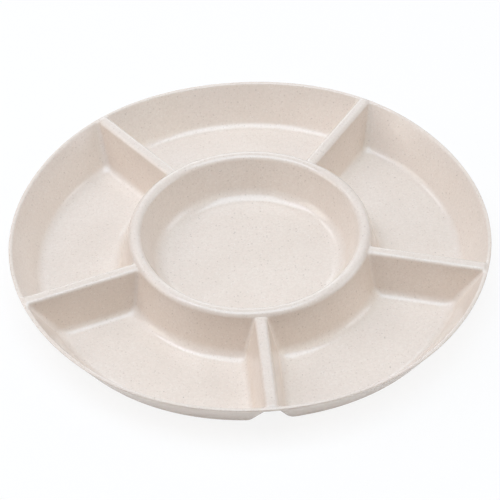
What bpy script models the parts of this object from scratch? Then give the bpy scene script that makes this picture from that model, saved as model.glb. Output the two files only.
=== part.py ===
"""Divided serving tray with five compartments round a raised centre well.

The tray is one thin plastic moulding.  Its skin has one thickness all over, so the dividers and the
ring round the well are hollow underneath.  Lengths are in metres, +Z is up, and the origin is the
middle of the plane that the tray stands on.  One divider points along -Y.

Only half of one compartment is modelled, from the middle of the compartment to the middle of the
divider.  A mirror makes it whole and an array sets the compartments round the well.
"""
import math
from collections import namedtuple

import bmesh
import bpy

# Overall sizes
COMPARTMENT_COUNT = 5
TRAY_RADIUS = 0.150          # to the outside of the rim
WALL = 0.0022                # thickness of the moulded skin
PAN_DEPTH = 0.0260           # from the rim at a divider down to a compartment's floor
RIM_DIP = 0.0014             # how far the rim sinks from a divider to the middle of a compartment
FOOT_BULGE = 0.0013          # how far the outer wall's foot bulges out there
DIVIDER_RISE = 0.0011        # how far the dividers stand above the rim beside them
RING_RISE = 0.0033           # how far the ring stands above the rim at a divider
WELL_DEPTH = 0.0255          # from the ring down to the well's floor

# Widths between the sharp corners that the walls would have without their rounded edges
RING_RADIUS = 0.0750         # to the outside of the ring's top
RING_WIDTH = 0.0065
DIVIDER_WIDTH = 0.0067

# Slope of each wall away from upright
OUTER_DRAFT = math.radians(32.5)
RING_DRAFT = math.radians(14.3)
DIVIDER_DRAFT = math.radians(14.2)
WELL_DRAFT = math.radians(22.5)

# Rounding
OUTER_FOOT_RADIUS = 0.0080   # between a compartment's floor and the outer wall
RING_FOOT_RADIUS = 0.0080    # between a compartment's floor and the ring
DIVIDER_FOOT_RADIUS = 0.0055  # between a compartment's floor and a divider
WELL_FOOT_RADIUS = 0.0105    # between the well's floor and its wall
RING_EDGE_RADIUS = 0.0040    # along the ring's top
DIVIDER_EDGE_RADIUS = 0.0026  # along the dividers' tops
RIM_INNER_RADIUS = 0.0016    # along the rim, on the food side
RIM_OUTER_RADIUS = 0.0007    # along the rim, on the outside
OUTER_CORNER_RADIUS = 0.0043  # where a divider meets the outer wall
INNER_CORNER_RADIUS = 0.0035  # where a divider meets the ring

# Facets
FOOT_STEPS = 4
EDGE_STEPS = 3
RING_STEPS = 5               # round the ring and its well, along half a compartment
RIM_STEPS = 8                # round the rim, along half a compartment
JOIN_STEPS = 2               # across half a divider, and round the ring and the rim at its ends
CORNER_STEPS = 2 * JOIN_STEPS  # round an upright corner: at the rim, half of them face the divider

SHARP_ANGLE = math.radians(35)
MERGE_DISTANCE = 1e-6        # joins the copies of points that coincide

# Colour and finish
TRAY_COLOUR = (0.78, 0.70, 0.64, 1.0)
TRAY_ROUGHNESS = 0.42

HALF_SECTOR = math.pi / COMPARTMENT_COUNT
RIM_Z = WALL + PAN_DEPTH
DIVIDER_Z = RIM_Z + DIVIDER_RISE
RING_Z = RIM_Z + RING_RISE
WELL_FLOOR_Z = RING_Z - WELL_DEPTH
WELL_RADIUS = RING_RADIUS - RING_WIDTH

# The outer wall ends in the rim without a flange.  Its outside runs up to a sharp corner that lies
# just beyond the rim's rounded edge, and its inside is one wall further in.
RIM_CORNER_REACH = RIM_OUTER_RADIUS * (math.tan(OUTER_DRAFT) + 1 / math.cos(OUTER_DRAFT) - 1)
RIM_CORNER_RADIUS = TRAY_RADIUS + RIM_CORNER_REACH
PAN_OUTER_RADIUS = RIM_CORNER_RADIUS - WALL / math.cos(OUTER_DRAFT)

# A wall hangs from its crest and ends in a rounded foot on the floor
Wall = namedtuple("Wall", "crest floor draft foot_radius edge_radius")
OUTER_WALL = Wall(RIM_Z, WALL, OUTER_DRAFT, OUTER_FOOT_RADIUS, RIM_INNER_RADIUS)
RING_WALL = Wall(RING_Z, WALL, RING_DRAFT, RING_FOOT_RADIUS, RING_EDGE_RADIUS)
DIVIDER_WALL = Wall(DIVIDER_Z, WALL, DIVIDER_DRAFT, DIVIDER_FOOT_RADIUS, DIVIDER_EDGE_RADIUS)
WELL_WALL = Wall(RING_Z, WELL_FLOOR_Z, WELL_DRAFT, WELL_FOOT_RADIUS, RING_EDGE_RADIUS)


def rounding_reach(radius, draft):
    """Length along the flat from a wall's sharp corner to where its rounding starts."""
    return radius * (1 - math.sin(draft)) / math.cos(draft)


def wall_inset(wall, z, skin):
    """How far a wall has moved in from its crest at the height z.

    skin is zero on the food side.  On the hidden side it is the wall's thickness, and the surface
    runs parallel to the food side.
    """
    foot_radius = wall.foot_radius + skin
    foot_z = wall.floor + wall.foot_radius
    if z < foot_z - foot_radius * math.sin(wall.draft):
        centre = (wall.crest - wall.floor) * math.tan(wall.draft)
        centre += rounding_reach(wall.foot_radius, wall.draft)
        return centre - math.sqrt(max(foot_radius ** 2 - (foot_z - z) ** 2, 0))
    edge_z = wall.crest - wall.edge_radius
    if skin == 0 and z > edge_z + wall.edge_radius * math.sin(wall.draft):
        reach = rounding_reach(wall.edge_radius, wall.draft)
        return math.sqrt(max(wall.edge_radius ** 2 - (z - edge_z) ** 2, 0)) - reach
    return (wall.crest - z) * math.tan(wall.draft) - skin / math.cos(wall.draft)


def foot_heights(wall, skin):
    """Heights of the facet rows up the rounded foot of a wall, from the floor."""
    radius = wall.foot_radius + skin
    turn = math.pi / 2 - wall.draft
    angles = [turn * step / FOOT_STEPS for step in range(FOOT_STEPS + 1)]
    return [wall.floor - skin + radius * (1 - math.cos(angle)) for angle in angles]


def edge_heights(wall, lowest):
    """Heights of the facet rows up the rounded edge of a wall, from lowest to the crest."""
    start = math.pi / 2 - wall.draft
    drop = (wall.crest - lowest) / wall.edge_radius
    if drop < 1 - math.sin(wall.draft):
        start = math.acos(1 - drop)
    angles = [start * (1 - step / EDGE_STEPS) for step in range(EDGE_STEPS + 1)]
    return [wall.crest - wall.edge_radius * (1 - math.cos(angle)) for angle in angles]


def polar(radius, angle, z):
    return (radius * math.cos(angle), radius * math.sin(angle), z)


def circle_row(radius, angles, z):
    return [polar(radius, angle, z) for angle in angles]


def spaced(first, last, steps):
    """Values from first to last in even steps, both ends included."""
    return [first + (last - first) * step / steps for step in range(steps + 1)]


def corner_row(centre_radius, half_width, corner, at_ring, z, last_z):
    """Rounded upright corner beside a divider, where it meets the ring or the outer wall."""
    centre_angle = HALF_SECTOR - math.asin((half_width + corner) / centre_radius)
    x, y, _ = polar(centre_radius, centre_angle, z)
    at_divider = HALF_SECTOR + math.pi / 2
    first, last = (centre_angle + math.pi, at_divider) if at_ring else (at_divider, centre_angle)
    turns = zip(spaced(first, last, CORNER_STEPS), spaced(z, last_z, CORNER_STEPS))
    points = [(x + corner * math.cos(angle), y + corner * math.sin(angle), high) for angle, high in turns]
    return centre_angle, points


def pan_row(ring_z, z, rim_z, skin):
    """Half the outline of a compartment, with a height each for the ring, the divider and the rim.

    It runs from the middle of the ring's side, round by the divider, to the middle of the rim's side.
    The first RING_STEPS + 1 points lie on the ring's side and the last RIM_STEPS + 1 on the rim's.
    """
    ring_side = RING_RADIUS + wall_inset(RING_WALL, ring_z, skin)
    rim_side = PAN_OUTER_RADIUS - wall_inset(OUTER_WALL, rim_z, skin)
    half_width = DIVIDER_WIDTH / 2 + wall_inset(DIVIDER_WALL, z, skin)
    inner_corner = INNER_CORNER_RADIUS + skin
    outer_corner = OUTER_CORNER_RADIUS + skin
    ring_angle, inner_row = corner_row(
        ring_side + inner_corner, half_width, inner_corner, True, ring_z, z)
    rim_angle, outer_row = corner_row(
        rim_side - outer_corner, half_width, outer_corner, False, z, rim_z)
    ring_row = circle_row(ring_side, spaced(0, ring_angle, RING_STEPS), ring_z)
    rim_row = circle_row(rim_side, spaced(rim_angle, 0, RIM_STEPS), rim_z)
    return ring_row[:-1] + inner_row + outer_row + rim_row[1:]


def angles_on_to_divider(points):
    """Angles of the points along a compartment's side, then on to the divider's middle."""
    angles = [math.atan2(y, x) for x, y, _ in points]
    return angles + spaced(angles[-1], HALF_SECTOR, JOIN_STEPS)[1:]


def add_row(mesh, points):
    return [mesh.verts.new(point) for point in points]


def add_rows(mesh, rows, hidden):
    """Facets between each row of points and the next.  On the hidden side they face the other way."""
    rows = [add_row(mesh, row) for row in rows]
    for first, second in zip(rows, rows[1:]):
        for near, far, far_next, near_next in zip(first, second, second[1:], first[1:]):
            corners = [near, near_next, far_next, far]
            mesh.faces.new(corners[::-1] if hidden else corners)


def add_flat(mesh, points, hidden):
    mesh.faces.new(add_row(mesh, points[::-1] if hidden else points))


def across(point, opposite, share):
    """Point part of the way round the tray's axis from one point to another."""
    places = [(math.hypot(x, y), math.atan2(y, x), z) for x, y, z in (point, opposite)]
    return polar(*[(1 - share) * first + share * second for first, second in zip(*places)])


def add_web(mesh, top_row, rim_radius, rim_angles, rim_z, hidden):
    """Top of the dividers and the rim, or the underside of that web of skin.

    The web runs from the compartment's top row to the divider's middle, and near the rim to the
    rim's edge, so it slopes down there from the divider to the rim.
    """
    near_edge = top_row[RING_STEPS:]
    divider_end = RING_STEPS + CORNER_STEPS + 2
    far_edge = [polar(math.hypot(x, y), HALF_SECTOR, z) for x, y, z in top_row[RING_STEPS:divider_end]]
    last_radius = math.hypot(*far_edge[-1][:2])
    slope = zip(spaced(last_radius, rim_radius, JOIN_STEPS), spaced(far_edge[-1][2], rim_z, JOIN_STEPS))
    far_edge += [polar(radius, HALF_SECTOR, z) for radius, z in slope][1:]
    far_edge += circle_row(rim_radius, rim_angles[-2::-1], rim_z)
    add_rows(mesh, [[across(near, far, share) for near, far in zip(near_edge, far_edge)]
                    for share in spaced(0, 1, JOIN_STEPS)], hidden)


def add_ring(mesh, ring_angles, start_z, skin):
    """One face of the ring and the well, from the height start_z on the ring's outside."""
    if skin == 0:
        ring_heights = edge_heights(RING_WALL, start_z)
        well_heights = edge_heights(WELL_WALL, WELL_FLOOR_Z)[::-1]
    else:
        ring_heights = [start_z, RING_Z - WALL]
        well_heights = [RING_Z - WALL]
    well_heights += foot_heights(WELL_WALL, skin)[::-1]
    profile = [(RING_RADIUS + wall_inset(RING_WALL, z, skin), z) for z in ring_heights]
    profile += [(WELL_RADIUS - wall_inset(WELL_WALL, z, skin), z) for z in well_heights]
    rows = [circle_row(radius, ring_angles, z) for radius, z in profile]
    add_rows(mesh, rows, skin > 0)
    add_flat(mesh, rows[-1] + [(0, 0, profile[-1][1])], skin > 0)


def rim_profile():
    """Radius and height down the rim's rounded outer edge, to the underside of the web."""
    angles = spaced(math.pi / 2, 0, EDGE_STEPS - 1) + [-OUTER_DRAFT]
    centre_radius = TRAY_RADIUS - RIM_OUTER_RADIUS
    centre_z = RIM_Z - RIM_OUTER_RADIUS
    profile = [(centre_radius + RIM_OUTER_RADIUS * math.cos(angle),
                centre_z + RIM_OUTER_RADIUS * math.sin(angle)) for angle in angles]
    return profile + [(RIM_CORNER_RADIUS - WALL * math.tan(OUTER_DRAFT), RIM_Z - WALL)]


def add_food_side(mesh, rim_angles):
    top_heights = edge_heights(DIVIDER_WALL, WALL)
    ring_heights = foot_heights(RING_WALL, 0) + top_heights
    heights = foot_heights(DIVIDER_WALL, 0) + top_heights
    rim_heights = foot_heights(OUTER_WALL, 0) + edge_heights(OUTER_WALL, WALL)
    rows = [pan_row(*levels, 0) for levels in zip(ring_heights, heights, rim_heights)]
    add_rows(mesh, rows, False)
    add_flat(mesh, rows[0][::-1], False)
    add_web(mesh, rows[-1], rim_profile()[0][0], rim_angles, RIM_Z, False)
    add_ring(mesh, angles_on_to_divider(rows[-1][:RING_STEPS + 1]), DIVIDER_Z, 0)


def add_hidden_side(mesh):
    """Underside of the skin.  Returns the angles of the points along the rim's lower edge."""
    ring_heights = foot_heights(RING_WALL, WALL) + [DIVIDER_Z - WALL]
    heights = foot_heights(DIVIDER_WALL, WALL) + [DIVIDER_Z - WALL]
    rim_heights = foot_heights(OUTER_WALL, WALL) + [RIM_Z - WALL]
    rows = [pan_row(*levels, WALL) for levels in zip(ring_heights, heights, rim_heights)]
    add_rows(mesh, rows, True)
    add_flat(mesh, rows[0][::-1], True)
    rim_angles = angles_on_to_divider(rows[-1][:-RIM_STEPS - 2:-1])
    add_web(mesh, rows[-1][:-RIM_STEPS], rim_profile()[-1][0], rim_angles, RIM_Z - WALL, True)
    add_ring(mesh, angles_on_to_divider(rows[-1][:RING_STEPS + 1]), DIVIDER_Z - WALL, WALL)
    return rim_angles


def shape_outer_wall(mesh):
    """Between the dividers, sink the outer wall more the higher up, and bulge it more the lower down."""
    for vert in mesh.verts:
        x, y, z = vert.co
        radius = math.hypot(x, y)
        if radius > (RING_RADIUS + TRAY_RADIUS) / 2:
            share = (1 + math.cos(COMPARTMENT_COUNT * math.atan2(y, x))) / 2
            height = max(z - WALL, 0)
            depth = max(PAN_DEPTH - WALL - height, 0)
            growth = 1 + share * FOOT_BULGE * depth / (PAN_DEPTH - WALL) / radius
            vert.co = (growth * x, growth * y, z - share * RIM_DIP * height / PAN_DEPTH)


def half_compartment():
    """Mesh of half a compartment, open along its two upright cut planes."""
    mesh = bmesh.new()
    rim_angles = add_hidden_side(mesh)
    add_food_side(mesh, rim_angles)
    add_rows(mesh, [circle_row(radius, rim_angles, z) for radius, z in rim_profile()], True)
    bmesh.ops.remove_doubles(mesh, verts=mesh.verts, dist=MERGE_DISTANCE)
    shape_outer_wall(mesh)
    data = bpy.data.meshes.new("tray")
    mesh.to_mesh(data)
    mesh.free()
    return data


def tray_material():
    material = bpy.data.materials.new("fibre_filled_plastic")
    material.use_nodes = True
    shader = material.node_tree.nodes["Principled BSDF"]
    shader.inputs["Base Color"].default_value = TRAY_COLOUR
    shader.inputs["Roughness"].default_value = TRAY_ROUGHNESS
    shader.inputs["Metallic"].default_value = 0
    return material


def build_tray():
    collection = bpy.data.collections.new("divided_serving_tray")
    bpy.context.scene.collection.children.link(collection)

    data = half_compartment()
    data.shade_smooth()
    data.set_sharp_from_angle(angle=SHARP_ANGLE)
    data.materials.append(tray_material())
    tray = bpy.data.objects.new("tray", data)
    collection.objects.link(tray)
    tray.rotation_euler.z = HALF_SECTOR - math.pi / 2

    mirror = tray.modifiers.new("other_half", "MIRROR")
    mirror.use_axis = (False, True, False)
    mirror.merge_threshold = MERGE_DISTANCE

    turn = bpy.data.objects.new("compartment_turn", None)
    collection.objects.link(turn)
    turn.parent = tray
    turn.rotation_euler.z = 2 * HALF_SECTOR

    array = tray.modifiers.new("compartments", "ARRAY")
    array.count = COMPARTMENT_COUNT
    array.use_relative_offset = False
    array.use_object_offset = True
    array.offset_object = turn
    array.use_merge_vertices = True
    array.use_merge_vertices_cap = True
    array.merge_threshold = MERGE_DISTANCE


for old in list(bpy.data.objects):
    bpy.data.objects.remove(old)
build_tray()
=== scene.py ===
"""Dressed model of the divided serving tray, with its floor, lamps and camera.

The tray is modelled again here, with finer facets and softer joins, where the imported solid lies.
Lengths are in metres and +Z is up.  One divider points along -Y.
"""
import math
from collections import namedtuple

import bmesh
import bpy
from mathutils import Matrix, Vector


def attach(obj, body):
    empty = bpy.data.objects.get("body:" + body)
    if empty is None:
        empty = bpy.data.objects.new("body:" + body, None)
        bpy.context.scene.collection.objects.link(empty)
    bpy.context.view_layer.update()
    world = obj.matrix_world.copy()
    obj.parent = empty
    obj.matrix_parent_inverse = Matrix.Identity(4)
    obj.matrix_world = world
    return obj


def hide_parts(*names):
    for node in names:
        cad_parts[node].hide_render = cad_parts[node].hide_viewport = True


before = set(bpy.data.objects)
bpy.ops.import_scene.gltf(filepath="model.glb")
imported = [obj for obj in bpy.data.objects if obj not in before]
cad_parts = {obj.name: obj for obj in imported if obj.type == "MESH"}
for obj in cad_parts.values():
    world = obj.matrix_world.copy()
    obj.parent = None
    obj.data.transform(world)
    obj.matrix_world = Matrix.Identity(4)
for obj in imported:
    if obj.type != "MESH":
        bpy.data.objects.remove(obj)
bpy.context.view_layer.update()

# Overall sizes.  These and the next three groups are the solid's.
COMPARTMENT_COUNT = 5
TRAY_RADIUS = 0.150          # to the outside of the rim
WALL = 0.0022                # thickness of the moulded skin
PAN_DEPTH = 0.0260           # from the rim at a divider down to a compartment's floor
RIM_DIP = 0.0014             # how far the rim sinks from a divider to the middle of a compartment
FOOT_BULGE = 0.0013          # how far the outer wall's foot bulges out there
DIVIDER_RISE = 0.0011        # how far the dividers stand above the rim beside them
RING_RISE = 0.0033           # how far the ring stands above the rim at a divider
WELL_DEPTH = 0.0255          # from the ring down to the well's floor

# Widths between the sharp corners that the walls would have without their rounded edges
RING_RADIUS = 0.0750         # to the outside of the ring's top
RING_WIDTH = 0.0065
DIVIDER_WIDTH = 0.0067

# Slope of each wall away from upright
OUTER_DRAFT = math.radians(32.5)
RING_DRAFT = math.radians(14.3)
DIVIDER_DRAFT = math.radians(14.2)
WELL_DRAFT = math.radians(22.5)

# Rounding
OUTER_FOOT_RADIUS = 0.0080   # between a compartment's floor and the outer wall
RING_FOOT_RADIUS = 0.0080    # between a compartment's floor and the ring
DIVIDER_FOOT_RADIUS = 0.0055  # between a compartment's floor and a divider
WELL_FOOT_RADIUS = 0.0105    # between the well's floor and its wall
RING_EDGE_RADIUS = 0.0040    # along the ring's top
DIVIDER_EDGE_RADIUS = 0.0026  # along the dividers' tops
RIM_INNER_RADIUS = 0.0016    # along the rim, on the food side
RIM_OUTER_RADIUS = 0.0007    # along the rim, on the outside
OUTER_CORNER_RADIUS = 0.0043  # where a divider meets the outer wall, at the floor
INNER_CORNER_RADIUS = 0.0035  # where a divider meets the ring, at the floor

# The solid's upright corners keep their radius all the way up.  Here they narrow to these.
OUTER_CREST_CORNER_RADIUS = 0.0018
INNER_CREST_CORNER_RADIUS = 0.0022

# Softening where the dividers' tops run into the ring
SOFTEN_REACH = 0.0032
SOFTEN_ROUNDS = 12
SOFTEN_STEP = 0.5            # share of the way to the middle of its neighbours in one round
LEAST_WEIGHT = 0.01          # points that weigh less stay in place

# Facets
FOOT_STEPS = 10
WALL_STEPS = 7               # between a wall's foot and its rounded edge
EDGE_STEPS = 7
RING_STEPS = 16              # round the ring and its well, along half a compartment
FLANK_STEPS = 12             # along a divider's flank
RIM_STEPS = 26               # round the rim, along half a compartment
JOIN_STEPS = 6               # across half a divider, and round the ring and the rim at its ends
CORNER_STEPS = 2 * JOIN_STEPS  # round an upright corner: at the rim, half of them face the divider
FLAT_STEPS = 3               # across the border of a compartment's flat floor
FLAT_BORDER = 0.006          # width of that border
WELL_FLOOR_SHARES = (0.96, 0.7, 0.4, 0.15)   # radii of the rows on the well's floor
MERGE_DISTANCE = 1e-6        # joins the copies of points that coincide

# Colours of the plastic and its flecks
BODY_LIGHT = (0.850, 0.743, 0.648, 1)
BODY_DARK = (0.820, 0.710, 0.614, 1)
BODY_PINK = (0.830, 0.698, 0.606, 1)
BODY_SHADE = (0.745, 0.638, 0.543, 1)
BODY_PALE = (0.895, 0.813, 0.745, 1)
FLECK_TAN = (0.480, 0.340, 0.250, 1)
FLECK_BROWN = (0.270, 0.180, 0.130, 1)
FLECK_DARK = (0.110, 0.070, 0.055, 1)

# Soft patches in the body colour, laid over BODY_DARK in turn.  Where the noise rises from low to
# high, the colour comes in up to the given strength.
Patches = namedtuple("Patches", "scale detail low high strength colour")
BODY_PATCHES = (
    Patches(28.0, 3.0, 0.35, 0.65, 1, BODY_LIGHT),
    Patches(420.0, 2.0, 0.40, 0.70, 0.5, BODY_PINK),
    Patches(620.0, 1.0, 0.36, 0.64, 0.33, BODY_SHADE),
)

# Flecks, laid over the body colour in turn.  Each layer is cut into cells, and a share of the cells
# holds one fleck each.  A shift keeps the layers apart.  The tones say how a fleck's own random
# number blends its two colours.
Flecks = namedtuple("Flecks", "cell size share shift strength")
Tones = namedtuple("Tones", "low high first second")
BROWN_FLECKS = (
    (Flecks(0.0011, 0.00052, 0.42, 0.0, 0.20), Tones(0.2, 0.9, FLECK_TAN, FLECK_BROWN)),
    (Flecks(0.0021, 0.00080, 0.34, 0.37, 0.26), Tones(0.3, 0.8, FLECK_TAN, FLECK_BROWN)),
    (Flecks(0.0052, 0.00062, 0.34, 0.81, 0.42), Tones(0.4, 0.9, FLECK_BROWN, FLECK_DARK)),
)
PALE_FLECKS = Flecks(0.0016, 0.00070, 0.36, 1.63, 0.55)
FLECK_SHIFT = (1, 0.7, 1.3)  # direction of the shift
FLECK_CHOICE = 0.02          # half the width of the step between cells with and without a fleck
SMALLEST_FLECK = 0.5         # share of the largest one's size
FLECK_CORE = 0.35            # share of a fleck's reach that has its full colour

# Noise that bends the flecks out of round
BEND_SCALE = 900.0
BEND_DETAIL = 1.0
BEND_REACH = 0.0005
NOISE_MIDDLE = (0.5, 0.5, 0.5)

# Gloss.  The roughness varies in wiped patches, and the two finer layers of flecks are duller.
IOR = 1.52
WIPE_SCALE = 60.0
WIPE_DETAIL = 4.0
WIPE_ROUGHNESS = 0.65        # of the noise
WIPE_RANGE = (0.3, 0.7)
LEAST_ROUGHNESS = 0.13
MOST_ROUGHNESS = 0.17
FLECK_ROUGHNESS = 0.05

# Uneven surface: fine grain over a slow swell
GRAIN_SCALE = 2600.0
GRAIN_DETAIL = 2.0
GRAIN_HEIGHT = 0.000006
SWELL_SCALE = 45.0
SWELL_DETAIL = 1.0
SWELL_HEIGHT = 0.00006

# Floor
FLOOR_SIZE = 12
FLOOR_Z = -0.0001            # just under the tray, so that no two faces share a plane
FLOOR_COLOUR = (0.93, 0.93, 0.93, 1)
FLOOR_ROUGHNESS = 0.9
FLOOR_SPECULAR = 0.1

# How white the surroundings look to the camera and to shiny surfaces, from 0 to 1
WHITE = (1, 1, 1, 1)
FLOOR_WHITE_SHARE = 0.88
WORLD_WHITE_SHARE = 1
MIRRORED_WHITE_SHARE = 0.46

# Lamps: name, tilt from overhead and bearing in degrees, size in metres, power in watts and tint
LAMP_DISTANCE = 1.5
SOFTBOXES = (
    ("overhead", 5, -90, 1.2, 17.5, (0.68, 0.85, 1.0)),
    ("low_back", 68, 90, 0.8, 3.5, (0.77, 0.91, 1.0)),
    ("high_left", 30, 172, 0.5, 3.4, (0.80, 0.84, 1.0)),
    ("back_left", 46, 138, 0.45, 1.8, (0.90, 0.94, 1.0)),
    ("low_left", 60, 180, 0.8, 4.8, (1.0, 0.98, 0.92)),
    ("low_right", 60, 0, 0.8, 4.4, (0.85, 0.91, 1.0)),
    ("front_right", 52, -45, 0.8, 1.4, (1.0, 0.90, 0.55)),
)
FILL_TINT = (1.0, 0.58, 0.42, 1)
FILL_STRENGTH = 0.13

# Camera, fitted to the photo
CAMERA_PLACE = (-0.075907, -1.067976, 1.028018)
CAMERA_RIGHT = (0.995919, -0.088326, -0.018523)
CAMERA_UP = (0.07416, 0.684006, 0.725697)
CAMERA_AHEAD = (0.051428, 0.72411, -0.687765)
LENS = 169.4956              # focal length in millimetres
SENSOR_WIDTH = 36            # in millimetres
CLIP_START = 0.05
CLIP_END = 50

HALF_SECTOR = math.pi / COMPARTMENT_COUNT
RIM_Z = WALL + PAN_DEPTH
DIVIDER_Z = RIM_Z + DIVIDER_RISE
RING_Z = RIM_Z + RING_RISE
WELL_FLOOR_Z = RING_Z - WELL_DEPTH
WELL_RADIUS = RING_RADIUS - RING_WIDTH

# The outer wall ends in the rim without a flange.  Its outside runs up to a sharp corner that lies
# just beyond the rim's rounded edge, and its inside is one wall further in.
RIM_CORNER_REACH = RIM_OUTER_RADIUS * (math.tan(OUTER_DRAFT) + 1 / math.cos(OUTER_DRAFT) - 1)
RIM_CORNER_RADIUS = TRAY_RADIUS + RIM_CORNER_REACH
PAN_OUTER_RADIUS = RIM_CORNER_RADIUS - WALL / math.cos(OUTER_DRAFT)

# A wall hangs from its crest and ends in a rounded foot on the floor
Wall = namedtuple("Wall", "crest floor draft foot_radius edge_radius")
OUTER_WALL = Wall(RIM_Z, WALL, OUTER_DRAFT, OUTER_FOOT_RADIUS, RIM_INNER_RADIUS)
RING_WALL = Wall(RING_Z, WALL, RING_DRAFT, RING_FOOT_RADIUS, RING_EDGE_RADIUS)
DIVIDER_WALL = Wall(DIVIDER_Z, WALL, DIVIDER_DRAFT, DIVIDER_FOOT_RADIUS, DIVIDER_EDGE_RADIUS)
WELL_WALL = Wall(RING_Z, WELL_FLOOR_Z, WELL_DRAFT, WELL_FOOT_RADIUS, RING_EDGE_RADIUS)


def rounding_reach(radius, draft):
    """How far a rounding between a flat face and a wall reaches along the flat."""
    return radius * (1 - math.sin(draft)) / math.cos(draft)


def wall_inset(wall, z, skin):
    """How far a wall has moved in from its crest at the height z.

    Here and below, skin is 0 on the food side and the wall's thickness on the hidden side.
    """
    foot_radius = wall.foot_radius + skin
    foot_z = wall.floor + wall.foot_radius
    if z < foot_z - foot_radius * math.sin(wall.draft):
        centre = (wall.crest - wall.floor) * math.tan(wall.draft)
        centre += rounding_reach(wall.foot_radius, wall.draft)
        return centre - math.sqrt(max(foot_radius ** 2 - (foot_z - z) ** 2, 0))
    edge_z = wall.crest - wall.edge_radius
    if skin == 0 and z > edge_z + wall.edge_radius * math.sin(wall.draft):
        reach = rounding_reach(wall.edge_radius, wall.draft)
        return math.sqrt(max(wall.edge_radius ** 2 - (z - edge_z) ** 2, 0)) - reach
    return (wall.crest - z) * math.tan(wall.draft) - skin / math.cos(wall.draft)


def spaced(first, last, steps):
    """Values from first to last, evenly spaced."""
    return [first + (last - first) * step / steps for step in range(steps + 1)]


def eased(first, last, steps):
    """Values from first to last, closer together near both ends."""
    shares = [(1 - math.cos(math.pi * step / steps)) / 2 for step in range(steps + 1)]
    return [first + (last - first) * share for share in shares]


def foot_heights(wall, skin):
    """Heights of the facet rows round a wall's foot, from the floor up."""
    radius = wall.foot_radius + skin
    angles = spaced(0, math.pi / 2 - wall.draft, FOOT_STEPS)
    return [wall.floor - skin + radius * (1 - math.cos(angle)) for angle in angles]


def edge_heights(wall, lowest):
    """Heights of the facet rows round a wall's top edge, but none below the height lowest."""
    start = math.pi / 2 - wall.draft
    drop = (wall.crest - lowest) / wall.edge_radius
    if drop < 1 - math.sin(wall.draft):
        start = math.acos(1 - drop)
    angles = spaced(start, 0, EDGE_STEPS)
    return [wall.crest - wall.edge_radius * (1 - math.cos(angle)) for angle in angles]


def wall_heights(wall, top, skin):
    """Heights of the facet rows from a wall's floor up to the crest of top, or to its underside."""
    foot = foot_heights(wall, skin)
    if skin:
        return foot[:-1] + eased(foot[-1], top.crest - skin, WALL_STEPS)
    edge = edge_heights(top, top.floor)
    return foot[:-1] + eased(foot[-1], edge[0], WALL_STEPS)[:-1] + edge


def polar(radius, angle, z):
    return (radius * math.cos(angle), radius * math.sin(angle), z)


def circle_row(radius, angles, z):
    return [polar(radius, angle, z) for angle in angles]


def smooth_step(share):
    return share * share * (3 - 2 * share)


def corner_row(centre_radius, half_width, corner, at_ring, z, last_z):
    """Rounded upright corner beside a divider, where it meets the ring or the outer wall."""
    centre_angle = HALF_SECTOR - math.asin((half_width + corner) / centre_radius)
    x, y, _ = polar(centre_radius, centre_angle, z)
    at_divider = HALF_SECTOR + math.pi / 2
    first, last = (centre_angle + math.pi, at_divider) if at_ring else (at_divider, centre_angle)
    points = []
    for step, angle in enumerate(spaced(first, last, CORNER_STEPS)):
        high = z + (last_z - z) * smooth_step(step / CORNER_STEPS)
        points.append((x + corner * math.cos(angle), y + corner * math.sin(angle), high))
    return centre_angle, points


def corner_radius(at_crest, at_floor, z):
    """Radius of an upright corner at the height z.  It widens from the crest down to the floor."""
    share = min((DIVIDER_Z - z) / (DIVIDER_Z - WALL), 1)
    return at_crest + (at_floor - at_crest) * share


def pan_row(ring_z, z, rim_z, skin, inward=0):
    """Half the outline of a compartment, with a height each for the ring, the divider and the rim.

    inward moves it further in, over the flat floor.
    """
    ring_side = RING_RADIUS + wall_inset(RING_WALL, ring_z, skin) + inward
    rim_side = PAN_OUTER_RADIUS - wall_inset(OUTER_WALL, rim_z, skin) - inward
    half_width = DIVIDER_WIDTH / 2 + wall_inset(DIVIDER_WALL, z, skin) + inward
    inner_corner = corner_radius(INNER_CREST_CORNER_RADIUS, INNER_CORNER_RADIUS, z) + skin
    outer_corner = corner_radius(OUTER_CREST_CORNER_RADIUS, OUTER_CORNER_RADIUS, z) + skin
    ring_angle, inner_row = corner_row(
        ring_side + inner_corner, half_width, inner_corner, True, ring_z, z)
    rim_angle, outer_row = corner_row(
        rim_side - outer_corner, half_width, outer_corner, False, z, rim_z)
    ring_row = circle_row(ring_side, spaced(0, ring_angle, RING_STEPS), ring_z)
    rim_row = circle_row(rim_side, spaced(rim_angle, 0, RIM_STEPS), rim_z)
    start, end = Vector(inner_row[-1]), Vector(outer_row[0])
    flank = [tuple(start.lerp(end, share)) for share in eased(0, 1, FLANK_STEPS)[1:-1]]
    return ring_row[:-1] + inner_row + flank + outer_row + rim_row[1:]


def angles_on_to_divider(points):
    """Angles of the points along a compartment's side, then on to the divider's middle."""
    angles = [math.atan2(y, x) for x, y, _ in points]
    return angles + spaced(angles[-1], HALF_SECTOR, JOIN_STEPS)[1:]


def add_rows(mesh, rows, hidden):
    """Facets between each row of points and the next.

    On the hidden side they face the other way.
    """
    rows = [[mesh.verts.new(point) for point in row] for row in rows]
    for first, second in zip(rows, rows[1:]):
        for near, far, far_next, near_next in zip(first, second, second[1:], first[1:]):
            corners = [near, near_next, far_next, far]
            mesh.faces.new(corners[::-1] if hidden else corners)


def add_flat(mesh, points, hidden):
    mesh.faces.new([mesh.verts.new(point) for point in (points[::-1] if hidden else points)])


def across(point, opposite, share):
    """Point part of the way round the tray's axis from one point to another."""
    places = [(math.hypot(x, y), math.atan2(y, x), z) for x, y, z in (point, opposite)]
    return polar(*[(1 - share) * first + share * second for first, second in zip(*places)])


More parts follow.
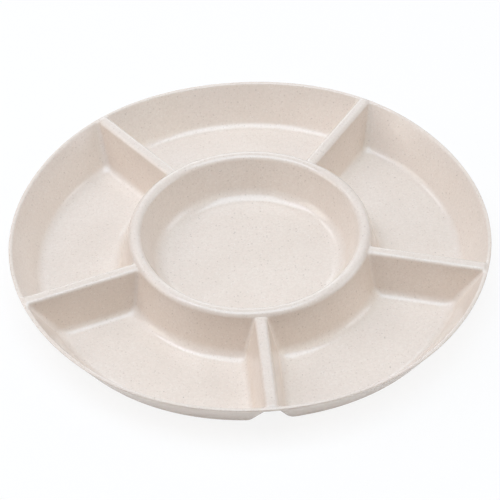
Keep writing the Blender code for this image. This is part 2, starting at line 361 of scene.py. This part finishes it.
def add_web(mesh, top_row, rim_radius, rim_angles, rim_z, hidden):
    """Top of the dividers and the rim, or the underside of that web of skin."""
    near_edge = top_row[RING_STEPS:]
    divider_end = RING_STEPS + CORNER_STEPS + FLANK_STEPS + 1
    far_edge = [polar(math.hypot(x, y), HALF_SECTOR, z)
                for x, y, z in top_row[RING_STEPS:divider_end]]
    last_radius = math.hypot(*far_edge[-1][:2])
    last_z = far_edge[-1][2]
    for share in spaced(0, 1, JOIN_STEPS)[1:]:
        radius = last_radius + (rim_radius - last_radius) * share
        far_edge.append(polar(radius, HALF_SECTOR, last_z + (rim_z - last_z) * smooth_step(share)))
    far_edge += circle_row(rim_radius, rim_angles[-2::-1], rim_z)
    add_rows(mesh, [[across(near, far, share) for near, far in zip(near_edge, far_edge)]
                    for share in spaced(0, 1, JOIN_STEPS)], hidden)


def add_ring(mesh, ring_angles, start_z, skin):
    """One face of the ring and the well, from the height start_z on the ring's outside."""
    if skin == 0:
        ring_heights = edge_heights(RING_WALL, start_z)
    else:
        ring_heights = [start_z, RING_Z - skin]
    profile = [(RING_RADIUS + wall_inset(RING_WALL, z, skin), z) for z in ring_heights]
    well_heights = wall_heights(WELL_WALL, WELL_WALL, skin)[::-1]
    profile += [(WELL_RADIUS - wall_inset(WELL_WALL, z, skin), z) for z in well_heights]
    floor_radius, floor_z = profile[-1]
    profile += [(floor_radius * share, floor_z) for share in WELL_FLOOR_SHARES]
    rows = [circle_row(radius, ring_angles, z) for radius, z in profile]
    add_rows(mesh, rows, skin > 0)
    add_flat(mesh, rows[-1] + [(0, 0, floor_z)], skin > 0)


def rim_profile():
    """Radius and height down the rim's rounded outer edge, to the underside of the web."""
    angles = spaced(math.pi / 2, -OUTER_DRAFT, EDGE_STEPS)
    centre_radius = TRAY_RADIUS - RIM_OUTER_RADIUS
    centre_z = RIM_Z - RIM_OUTER_RADIUS
    profile = [(centre_radius + RIM_OUTER_RADIUS * math.cos(angle),
                centre_z + RIM_OUTER_RADIUS * math.sin(angle)) for angle in angles]
    return profile + [(RIM_CORNER_RADIUS - WALL * math.tan(OUTER_DRAFT), RIM_Z - WALL)]


def pan_rows(skin):
    """Outlines of a compartment from the middle of its floor up to its crest."""
    levels = list(zip(wall_heights(RING_WALL, DIVIDER_WALL, skin),
                      wall_heights(DIVIDER_WALL, DIVIDER_WALL, skin),
                      wall_heights(OUTER_WALL, OUTER_WALL, skin)))
    border = spaced(FLAT_BORDER, 0, FLAT_STEPS)[:-1]
    floor_rows = [pan_row(*levels[0], skin, inward) for inward in border]
    return floor_rows + [pan_row(*level, skin) for level in levels]


def add_food_side(mesh, rim_angles):
    rows = pan_rows(0)
    add_rows(mesh, rows, False)
    add_flat(mesh, rows[0][::-1], False)
    add_web(mesh, rows[-1], rim_profile()[0][0], rim_angles, RIM_Z, False)
    add_ring(mesh, angles_on_to_divider(rows[-1][:RING_STEPS + 1]), DIVIDER_Z, 0)


def add_hidden_side(mesh):
    """Underside of the skin.  Returns the angles of the points along the rim's lower edge."""
    rows = pan_rows(WALL)
    add_rows(mesh, rows, True)
    add_flat(mesh, rows[0][::-1], True)
    rim_angles = angles_on_to_divider(rows[-1][:-RIM_STEPS - 2:-1])
    add_web(mesh, rows[-1][:-RIM_STEPS], rim_profile()[-1][0], rim_angles, RIM_Z - WALL, True)
    add_ring(mesh, angles_on_to_divider(rows[-1][:RING_STEPS + 1]), DIVIDER_Z - WALL, WALL)
    return rim_angles


def shape_outer_wall(mesh):
    """Between two dividers, sink the outer wall towards its top and bulge it towards its foot."""
    for vert in mesh.verts:
        x, y, z = vert.co
        radius = math.hypot(x, y)
        if radius > (RING_RADIUS + TRAY_RADIUS) / 2:
            share = (1 + math.cos(COMPARTMENT_COUNT * math.atan2(y, x))) / 2
            height = max(z - WALL, 0)
            depth = max(PAN_DEPTH - WALL - height, 0)
            growth = 1 + share * FOOT_BULGE * depth / (PAN_DEPTH - WALL) / radius
            vert.co = (growth * x, growth * y, z - share * RIM_DIP * height / PAN_DEPTH)


def soften(mesh, centre_radius, low_z):
    """Blend the surface round the junction of a divider's top with the ring, above low_z."""
    chosen = []
    for vert in mesh.verts:
        x, y, z = vert.co
        away = math.hypot(x, y) - centre_radius
        if z < low_z or abs(away) > SOFTEN_REACH:
            continue
        from_divider = abs(math.remainder(math.atan2(y, x) - HALF_SECTOR, 2 * HALF_SECTOR))
        beside = from_divider * centre_radius - DIVIDER_WIDTH
        weight = 1 - smooth_step(min(abs(away) / SOFTEN_REACH, 1))
        weight *= 1 - smooth_step(min(max(beside / SOFTEN_REACH, 0), 1))
        if weight > LEAST_WEIGHT:
            chosen.append((vert, weight, [edge.other_vert(vert) for edge in vert.link_edges]))
    for _ in range(SOFTEN_ROUNDS):
        moves = []
        for vert, weight, near in chosen:
            middle = sum((other.co for other in near), Vector()) / len(near)
            moves.append((middle - vert.co) * weight * SOFTEN_STEP)
        for (vert, _, _), move in zip(chosen, moves):
            vert.co += move


def half_compartment():
    """Points and faces of the tray from the middle of a compartment to the middle of a divider."""
    half = bmesh.new()
    rim_angles = add_hidden_side(half)
    add_food_side(half, rim_angles)
    add_rows(half, [circle_row(radius, rim_angles, z) for radius, z in rim_profile()], True)
    shape_outer_wall(half)
    half.verts.index_update()
    points = [vert.co.copy() for vert in half.verts]
    faces = [[vert.index for vert in face.verts] for face in half.faces]
    half.free()
    return points, faces


def tray_mesh():
    points, faces = half_compartment()
    mesh = bmesh.new()
    mirror = Matrix.Diagonal((1, -1, 1)).to_3x3()
    for copy in range(COMPARTMENT_COUNT):
        turn = Matrix.Rotation(2 * HALF_SECTOR * copy, 3, "Z")
        for place, flipped in ((turn, False), (turn @ mirror, True)):
            verts = [mesh.verts.new(place @ point) for point in points]
            for face in faces:
                mesh.faces.new([verts[index] for index in (face[::-1] if flipped else face)])
    bmesh.ops.remove_doubles(mesh, verts=mesh.verts, dist=MERGE_DISTANCE)
    soften(mesh, RING_RADIUS + wall_inset(RING_WALL, DIVIDER_Z, 0), RING_Z - 2 * WALL)
    bmesh.ops.rotate(mesh, verts=mesh.verts, cent=(0, 0, 0),
                     matrix=Matrix.Rotation(HALF_SECTOR - math.pi / 2, 3, "Z"))
    data = bpy.data.meshes.new("tray_skin")
    mesh.to_mesh(data)
    mesh.free()
    data.shade_smooth()
    return data


class Nodes:
    """Short way to add and join the nodes of a material or of the world."""

    def __init__(self, tree):
        self.tree = tree

    def feed(self, socket, value):
        """Link a socket to another one, or set its value."""
        if isinstance(value, bpy.types.NodeSocket):
            self.tree.links.new(value, socket)
        else:
            socket.default_value = value

    def add(self, kind, inputs=None, **settings):
        node = self.tree.nodes.new(kind)
        for name, value in settings.items():
            setattr(node, name, value)
        for name, value in (inputs or {}).items():
            self.feed(node.inputs[name], value)
        return node

    def ramp(self, value, low, high, start, end, smooth=True):
        """Go from start to end as the value goes from low to high."""
        node = self.add("ShaderNodeMapRange", {"Value": value, "From Min": low, "From Max": high,
                                               "To Min": start, "To Max": end})
        node.interpolation_type = "SMOOTHSTEP" if smooth else "LINEAR"
        return node.outputs["Result"]

    def maths(self, operation, first, second):
        inputs = {0: first, 1: second}
        return self.add("ShaderNodeMath", inputs, operation=operation).outputs[0]

    def vectors(self, operation, first, second):
        inputs = {0: first, 1: second}
        return self.add("ShaderNodeVectorMath", inputs, operation=operation).outputs[0]

    def mix(self, share, first, second):
        inputs = {0: share, 6: first, 7: second}
        return self.add("ShaderNodeMix", inputs, data_type="RGBA").outputs[2]

    def noise(self, place, scale, detail, roughness=0.5):
        return self.add("ShaderNodeTexNoise", {"Vector": place, "Scale": scale, "Detail": detail,
                                               "Roughness": roughness}).outputs


def flecks(nodes, place, layer):
    """Mask of scattered flecks, and a random number for each of them."""
    shift = tuple(layer.shift * along for along in FLECK_SHIFT)
    moved = nodes.vectors("ADD", place, shift)
    cells = nodes.add("ShaderNodeTexVoronoi",
                      {"Vector": moved, "Scale": 1 / layer.cell, "Randomness": 1.0})
    parts = nodes.add("ShaderNodeSeparateColor", {"Color": cells.outputs["Color"]})
    chosen = nodes.ramp(parts.outputs["Red"],
                        layer.share - FLECK_CHOICE, layer.share + FLECK_CHOICE, 1, 0, False)
    largest = layer.size / layer.cell
    reach = nodes.ramp(parts.outputs["Green"], 0, 1, SMALLEST_FLECK * largest, largest, False)
    near = nodes.maths("DIVIDE", cells.outputs["Distance"], reach)
    spot = nodes.ramp(near, FLECK_CORE, 1, 1, 0)
    return nodes.maths("MULTIPLY", spot, chosen), parts.outputs["Blue"]


def bent_place(nodes, place):
    """The place, moved a little by noise."""
    noise = nodes.noise(place, BEND_SCALE, BEND_DETAIL)["Color"]
    bend = nodes.vectors("SUBTRACT", noise, NOISE_MIDDLE)
    bend = nodes.add("ShaderNodeVectorMath", {0: bend, "Scale": BEND_REACH}, operation="SCALE")
    return nodes.vectors("ADD", place, bend.outputs[0])


def plastic():
    """Satin beige plastic filled with plant fibre: fine flecks in a slightly uneven body colour."""
    material = bpy.data.materials.new("fibre_filled_plastic")
    material.use_nodes = True
    nodes = Nodes(material.node_tree)
    shader = nodes.tree.nodes["Principled BSDF"].inputs
    place = nodes.add("ShaderNodeTexCoord").outputs["Object"]

    colour = BODY_DARK
    for patches in BODY_PATCHES:
        noise = nodes.noise(place, patches.scale, patches.detail)["Fac"]
        share = nodes.ramp(noise, patches.low, patches.high, 0, patches.strength)
        colour = nodes.mix(share, colour, patches.colour)

    bent = bent_place(nodes, place)
    masks = []
    for layer, tones in BROWN_FLECKS:
        mask, tone = flecks(nodes, bent, layer)
        blend = nodes.ramp(tone, tones.low, tones.high, 0, 1)
        brown = nodes.mix(blend, tones.first, tones.second)
        colour = nodes.mix(nodes.maths("MULTIPLY", mask, layer.strength), colour, brown)
        masks.append(mask)
    pale, _ = flecks(nodes, bent, PALE_FLECKS)
    colour = nodes.mix(nodes.maths("MULTIPLY", pale, PALE_FLECKS.strength), colour, BODY_PALE)
    nodes.feed(shader["Base Color"], colour)

    wipe = nodes.noise(place, WIPE_SCALE, WIPE_DETAIL, WIPE_ROUGHNESS)["Fac"]
    rough = nodes.ramp(wipe, *WIPE_RANGE, LEAST_ROUGHNESS, MOST_ROUGHNESS)
    dull = nodes.maths("MULTIPLY", nodes.maths("ADD", masks[0], masks[1]), FLECK_ROUGHNESS)
    nodes.feed(shader["Roughness"], nodes.maths("ADD", rough, dull))

    grain = nodes.noise(place, GRAIN_SCALE, GRAIN_DETAIL)["Fac"]
    swell = nodes.noise(place, SWELL_SCALE, SWELL_DETAIL)["Fac"]
    height = nodes.maths("ADD", nodes.maths("MULTIPLY", grain, GRAIN_HEIGHT),
                         nodes.maths("MULTIPLY", swell, SWELL_HEIGHT))
    bump = nodes.add("ShaderNodeBump", {"Height": height, "Distance": 1.0, "Strength": 1.0})
    nodes.feed(shader["Normal"], bump.outputs["Normal"])
    shader["IOR"].default_value = IOR
    shader["Metallic"].default_value = 0
    return material


def show_white(nodes, plain, white_kind, output, camera_share):
    """Show a surface or the world as plain white to the camera and in shiny surfaces.

    The light that reaches the tray is left as it is.
    """
    path = nodes.add("ShaderNodeLightPath").outputs
    mirrored = nodes.maths("MAXIMUM", path["Is Glossy Ray"], path["Is Transmission Ray"])
    mirrored = nodes.maths("MULTIPLY", mirrored, MIRRORED_WHITE_SHARE)
    seen = nodes.maths("MULTIPLY", path["Is Camera Ray"], camera_share)
    white = nodes.add(white_kind, {"Color": WHITE, "Strength": 1.0})
    surface = nodes.add("ShaderNodeMixShader", {0: nodes.maths("ADD", seen, mirrored),
                                                1: plain.outputs[0], 2: white.outputs[0]})
    nodes.feed(nodes.tree.nodes[output].inputs["Surface"], surface.outputs[0])


def floor_material():
    """White floor.  The camera sees it near white, with the tray's soft shadow."""
    material = bpy.data.materials.new("white_floor")
    material.use_nodes = True
    nodes = Nodes(material.node_tree)
    paint = nodes.tree.nodes["Principled BSDF"]
    paint.inputs["Base Color"].default_value = FLOOR_COLOUR
    paint.inputs["Roughness"].default_value = FLOOR_ROUGHNESS
    paint.inputs["Specular IOR Level"].default_value = FLOOR_SPECULAR
    show_white(nodes, paint, "ShaderNodeEmission", "Material Output", FLOOR_WHITE_SHARE)
    return material


def studio_world():
    """Dim, warm fill for the tray.  The camera sees plain white round it."""
    world = bpy.data.worlds.new("studio")
    world.use_nodes = True
    nodes = Nodes(world.node_tree)
    fill = nodes.tree.nodes["Background"]
    fill.inputs["Color"].default_value = FILL_TINT
    fill.inputs["Strength"].default_value = FILL_STRENGTH
    show_white(nodes, fill, "ShaderNodeBackground", "World Output", WORLD_WHITE_SHARE)
    return world


def add_object(name, data):
    item = bpy.data.objects.new(name, data)
    bpy.context.scene.collection.objects.link(item)
    return item


def add_tray():
    skin = add_object("tray_skin", tray_mesh())
    skin.data.materials.append(plastic())
    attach(skin, "root")
    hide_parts("tray")


def add_camera():
    data = bpy.data.cameras.new("camera")
    data.sensor_width = SENSOR_WIDTH
    data.sensor_fit = "HORIZONTAL"
    data.lens = LENS
    data.clip_start = CLIP_START
    data.clip_end = CLIP_END
    camera = add_object("camera", data)
    turn = Matrix((CAMERA_RIGHT, CAMERA_UP, -Vector(CAMERA_AHEAD))).transposed()
    camera.rotation_mode = "QUATERNION"
    camera.rotation_quaternion = turn.to_quaternion()
    camera.location = CAMERA_PLACE
    bpy.context.scene.camera = camera


def add_floor():
    bpy.ops.mesh.primitive_plane_add(size=FLOOR_SIZE, location=(0, 0, FLOOR_Z))
    floor = bpy.context.object
    floor.name = "floor"
    floor.data.materials.append(floor_material())


def add_softbox(name, tilt, bearing, size, power, tint):
    """Square lamp aimed at the tray.

    tilt is in degrees from overhead, and bearing is in degrees from +X.
    """
    data = bpy.data.lights.new(name, "AREA")
    data.shape = "SQUARE"
    data.size = size
    data.energy = power
    data.color = tint
    light = add_object(name, data)
    tilt, bearing = math.radians(tilt), math.radians(bearing)
    place = Vector(polar(math.sin(tilt), bearing, math.cos(tilt)))
    light.location = place * LAMP_DISTANCE
    light.rotation_mode = "QUATERNION"
    light.rotation_quaternion = place.to_track_quat("Z", "Y")


add_tray()
add_camera()
add_floor()
for softbox in SOFTBOXES:
    add_softbox(*softbox)

bpy.context.scene.world = studio_world()
bpy.context.scene.view_settings.view_transform = "Standard"
